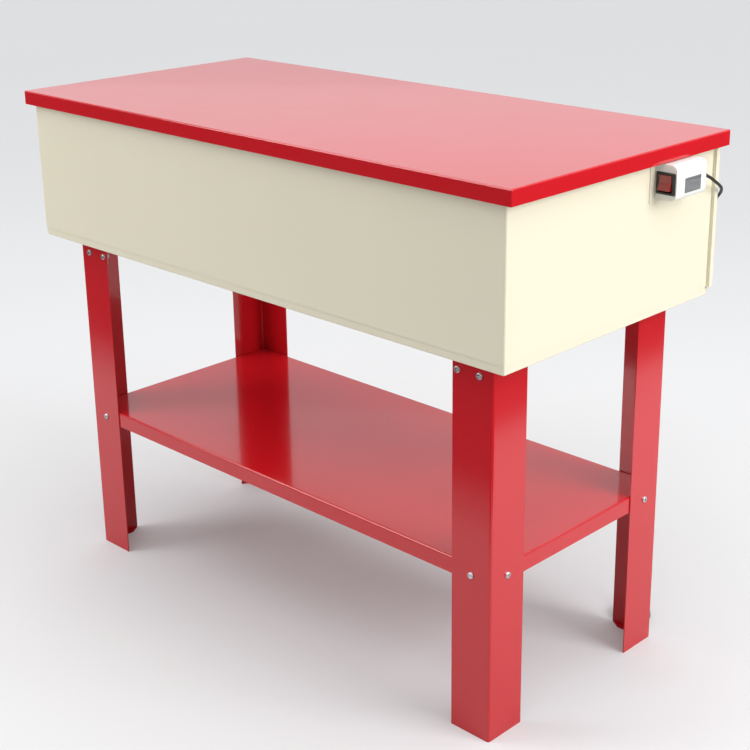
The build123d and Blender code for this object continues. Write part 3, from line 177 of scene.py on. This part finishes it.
def plastic(name, colour, rough, grain, depth=0.15, **more):
    """Moulded plastic or rubber with a fine spark-eroded texture."""
    b = Build(name)
    tone = b.mix(b.spread(b.noise(6.0, 3.0), 0.0, 1.0), colour, tuple(c * 0.9 for c in colour))
    b.put(Base_Color=tone, Roughness=b.spread(b.noise(30.0, 4.0), rough * 0.9, rough * 1.1))
    b.put(**more)
    b.bump(b.noise(grain, 2.0), depth, 0.0003)
    return b.mat


LOOKS = {
    "red_paint": enamel(
        "red enamel", (0.56, 0.007, 0.014), (0.53, 0.0065, 0.012), rough=0.14, coat=0.45, peel=0.02
    ),
    "cream_paint": enamel(
        "cream enamel", (0.78, 0.73, 0.57), (0.765, 0.715, 0.555), rough=0.34, coat=0.25, peel=0.02
    ),
    "pump_paint": enamel(
        "pump enamel", (0.03, 0.045, 0.06), (0.02, 0.03, 0.045), rough=0.4, coat=0.3, peel=0.1
    ),
    "zinc_steel": metal("bright zinc", (0.72, 0.73, 0.75), 0.28, 260.0),
    "brass": metal("brass", (0.80, 0.60, 0.28), 0.28, 300.0),
    "chrome": metal("chrome", (0.90, 0.90, 0.91), 0.08, 160.0),
    "plate_grey": metal("foil plate", (0.66, 0.67, 0.68), 0.42, 500.0, (1.0, 0.05, 1.0)),
    "black_plastic": plastic("black moulding", (0.018, 0.018, 0.019), 0.45, 900.0),
    "white_plastic": plastic("white moulding", (0.80, 0.80, 0.77), 0.42, 1100.0),
    "black_rubber": plastic("black rubber", (0.016, 0.016, 0.017), 0.5, 700.0),
    "red_clear": plastic(
        "clear red", (0.36, 0.008, 0.012), 0.12, 300.0, 0.03,
        Coat_Weight=0.6, Transmission_Weight=0.25,
    ),
}

for row in frame["record"]["subparts"]:
    for slot in frame["nodes"][row["node"]].material_slots:
        slot.material = LOOKS[row["material_slot"]]


# ---- power cord ---------------------------------------------------------------------------------
# The route repeats the one in the part's source, in metres.
CORD_D = 0.0052
COIL_X, COIL_Y = 0.4432, 0.2630
SIGHT = (-0.5563, 0.8310)
ACROSS = (0.8310, 0.5563)
CORD_ROUTE = [
    (0.58225, 0.2000, 0.8670), (0.5825, 0.2130, 0.8615), (0.5827, 0.2290, 0.8515),
    (0.5815, 0.2460, 0.8420), (0.5760, 0.2620, 0.8325), (0.5655, 0.2750, 0.8210),
    (0.5490, 0.2840, 0.8045), (0.5280, 0.2905, 0.7820), (0.5045, 0.2940, 0.7535),
    (0.4820, 0.2955, 0.7190), (0.4615, 0.2963, 0.6780), (0.4445, 0.2969, 0.6300),
    (0.4320, 0.2972, 0.5740), (0.4250, 0.2972, 0.5130), (0.4218, 0.2970, 0.4470),
    (0.4206, 0.2966, 0.3800), (0.4204, 0.2962, 0.3120), (0.4206, 0.2958, 0.2440),
    (0.4211, 0.2954, 0.1760), (0.4216, 0.2950, 0.1160), (0.4220, 0.2948, 0.0720),
    (0.4222, 0.2947, 0.0428), (0.4190, 0.2899, 0.0289), (0.4139, 0.2804, 0.0190),
    (0.4108, 0.2669, 0.0140),
]
TAIL_ROUTE = [
    (0.0300, 0.0160, 0.0028), (0.0250, 0.0340, 0.0045), (0.0170, 0.0490, 0.0076),
    (0.0120, 0.0640, 0.0090),
]
COIL_INNER, COIL_OUTER = 0.0208, 0.0310
COIL_LOW, COIL_MIDDLE, COIL_TOP = CORD_D / 2, CORD_D * 1.5, CORD_D * 2.5
COIL_FIRST, COIL_INWARDS, COIL_OUTWARDS, COIL_LAST = 0.50, 0.90, 2.90, 5.0  # in turns
COIL_STEP = 0.3  # of a turn, down to the next layer
PER_TURN = 16


def by_coil(across, along, z):
    """A point given across and along the line from the coil's centre to the plug."""
    return (
        COIL_X + across * ACROSS[0] + along * SIGHT[0],
        COIL_Y + across * ACROSS[1] + along * SIGHT[1],
        z,
    )


def eased(turn, start, a, b):
    """Goes from a to b over a part of a turn."""
    t = min(1.0, max(0.0, (turn - start) / COIL_STEP))
    return a + (b - a) * t * t * (3 - 2 * t)


def coil_points():
    """The coil's turns: in at the top, inwards through the middle layer, outwards on the floor."""
    spread = 1 / (0.75 + 0.25 * math.cos(2 * math.pi / PER_TURN))
    points = []
    for i in range(round((COIL_LAST - COIL_FIRST) * PER_TURN) + 1):
        turn = COIL_FIRST + i / PER_TURN
        if turn < COIL_OUTWARDS:
            share = max(0.0, turn - COIL_INWARDS) / (COIL_OUTWARDS - COIL_INWARDS)
            r = COIL_OUTER + (COIL_INNER - COIL_OUTER) * share
            z = eased(turn, COIL_INWARDS, COIL_TOP, COIL_MIDDLE)
        else:
            share = (turn - COIL_OUTWARDS) / (COIL_LAST - COIL_OUTWARDS)
            r = COIL_INNER + (COIL_OUTER - COIL_INNER) * share
            z = eased(turn, COIL_OUTWARDS, COIL_MIDDLE, COIL_LOW)
        angle = 2 * math.pi * turn
        points.append(by_coil(r * spread * math.cos(angle), r * spread * math.sin(angle), z))
    return points


def nurbs(name, points, depth):
    """A round cord along a smooth line."""
    data = bpy.data.curves.new(name, "CURVE")
    data.dimensions = "3D"
    data.bevel_depth = depth
    data.bevel_resolution = 5
    data.resolution_u = 6
    data.use_fill_caps = True
    spline = data.splines.new("NURBS")
    spline.points.add(len(points) - 1)
    for point, place in zip(spline.points, points):
        point.co = (*place, 1.0)
    spline.order_u = 3
    spline.use_endpoint_u = True
    piece = bpy.data.objects.new(name, data)
    bpy.context.scene.collection.objects.link(piece)
    return piece


tail = [by_coil(*point) for point in TAIL_ROUTE]
cord = nurbs("cord_run", CORD_ROUTE + coil_points() + tail, CORD_D / 2)
cord.data.materials.append(LOOKS["black_rubber"])
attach(cord, "washer")
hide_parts("power_cord", "cord_coil")


# ---- floor and light ----------------------------------------------------------------------------
PAPER_RIGHT = (1.28, 1.38)  # x over which reflections see the lit paper give way to painted shade
PAPER_FRONT = (-0.75, -1.0)  # y over which it gives way to painted shade
FLOOR_LIFT = 0.11  # what the camera sees on top of the light on the floor


def floor():
    """A pale paper floor. Reflections see it lit only near the washer, with painted shade beyond.
    """
    bpy.ops.mesh.primitive_plane_add(size=40.0)
    plane = bpy.context.object
    plane.name = "floor"
    b = Build("floor")
    paper = b.mix(b.noise(0.6, 2.0), (0.51, 0.513, 0.52), (0.53, 0.533, 0.54))
    b.put(Base_Color=paper, Roughness=0.9, Specular_IOR_Level=0.05)
    b.put(Emission_Color=(0.97, 0.98, 1.0))
    plane.data.materials.append(b.mat)
    split = b.nodes.new("ShaderNodeSeparateXYZ")
    b.link(b.coord, split.inputs["Vector"])
    right = b.ramp(split.outputs["X"], *PAPER_RIGHT, 0.0, 1.0)
    front = b.ramp(split.outputs["Y"], *PAPER_FRONT, 0.0, 1.0)
    path = b.nodes.new("ShaderNodeLightPath")
    b.put(Emission_Strength=b.ramp(path.outputs["Is Camera Ray"], 0.0, 1.0, 0.0, FLOOR_LIFT))
    # Painted shade: beyond PAPER_RIGHT and PAPER_FRONT, glossy rays see a near-black diffuse
    # floor, though the lamps light the floor there.
    painted_shade = b.nodes.new("ShaderNodeBsdfDiffuse")
    painted_shade.inputs["Color"].default_value = (0.05, 0.05, 0.055, 1.0)
    painted_shade_mask = b.math("MULTIPLY", b.math("MAXIMUM", right, front), path.outputs["Is Glossy Ray"])
    surface = b.shader_mix(painted_shade_mask, b.bsdf.outputs["BSDF"], painted_shade.outputs["BSDF"])
    b.link(surface, b.nodes["Material Output"].inputs["Surface"])


def lamp(name, place, aim, size, power):
    """A rectangular soft lamp that points at a place."""
    data = bpy.data.lights.new(name, "AREA")
    data.shape = "RECTANGLE"
    data.size, data.size_y = size
    data.energy = power
    light = bpy.data.objects.new(name, data)
    light.location = place
    light.rotation_euler = (Vector(aim) - Vector(place)).to_track_quat("-Z", "Y").to_euler()
    bpy.context.scene.collection.objects.link(light)


def overhead(strength, angle):
    """A very wide soft light straight from above, the same all over the floor."""
    data = bpy.data.lights.new("overhead", "SUN")
    data.energy = strength
    data.angle = math.radians(angle)
    bpy.context.scene.collection.objects.link(bpy.data.objects.new("overhead", data))


ROOM_LIGHT, ROOM_SEEN = 0.04, 0.70  # strength of the world as a light, and as it is seen


def world():
    """A dim room that the camera and reflections see as a pale backdrop."""
    scene = bpy.context.scene
    scene.world = bpy.data.worlds.new("studio")
    scene.world.use_nodes = True
    nodes, links = scene.world.node_tree.nodes, scene.world.node_tree.links
    background = nodes["Background"]
    background.inputs["Color"].default_value = (0.95, 0.97, 1.0, 1.0)
    path = nodes.new("ShaderNodeLightPath")
    seen = path.outputs["Is Glossy Ray"]
    for output in ("Is Camera Ray", "Is Transmission Ray"):
        either = nodes.new("ShaderNodeMath")
        either.operation = "MAXIMUM"
        links.new(seen, either.inputs[0])
        links.new(path.outputs[output], either.inputs[1])
        seen = either.outputs["Value"]
    level = nodes.new("ShaderNodeMapRange")
    level.inputs["To Min"].default_value = ROOM_LIGHT
    level.inputs["To Max"].default_value = ROOM_SEEN
    links.new(seen, level.inputs["Value"])
    links.new(level.outputs["Result"], background.inputs["Strength"])


floor()
world()
overhead(3.6, 100.0)
lamp("key", (3.0, 0.5, 1.9), (0.5, 0.0, 0.55), (1.6, 1.6), 74.0)
lamp("front", (-1.9, -2.3, 1.9), (-0.5, -0.2, 0.8), (1.4, 1.4), 37.0)
lamp("back", (-1.6, 1.9, 1.9), (0.0, 0.0, 0.95), (4.0, 1.2), 2.7)
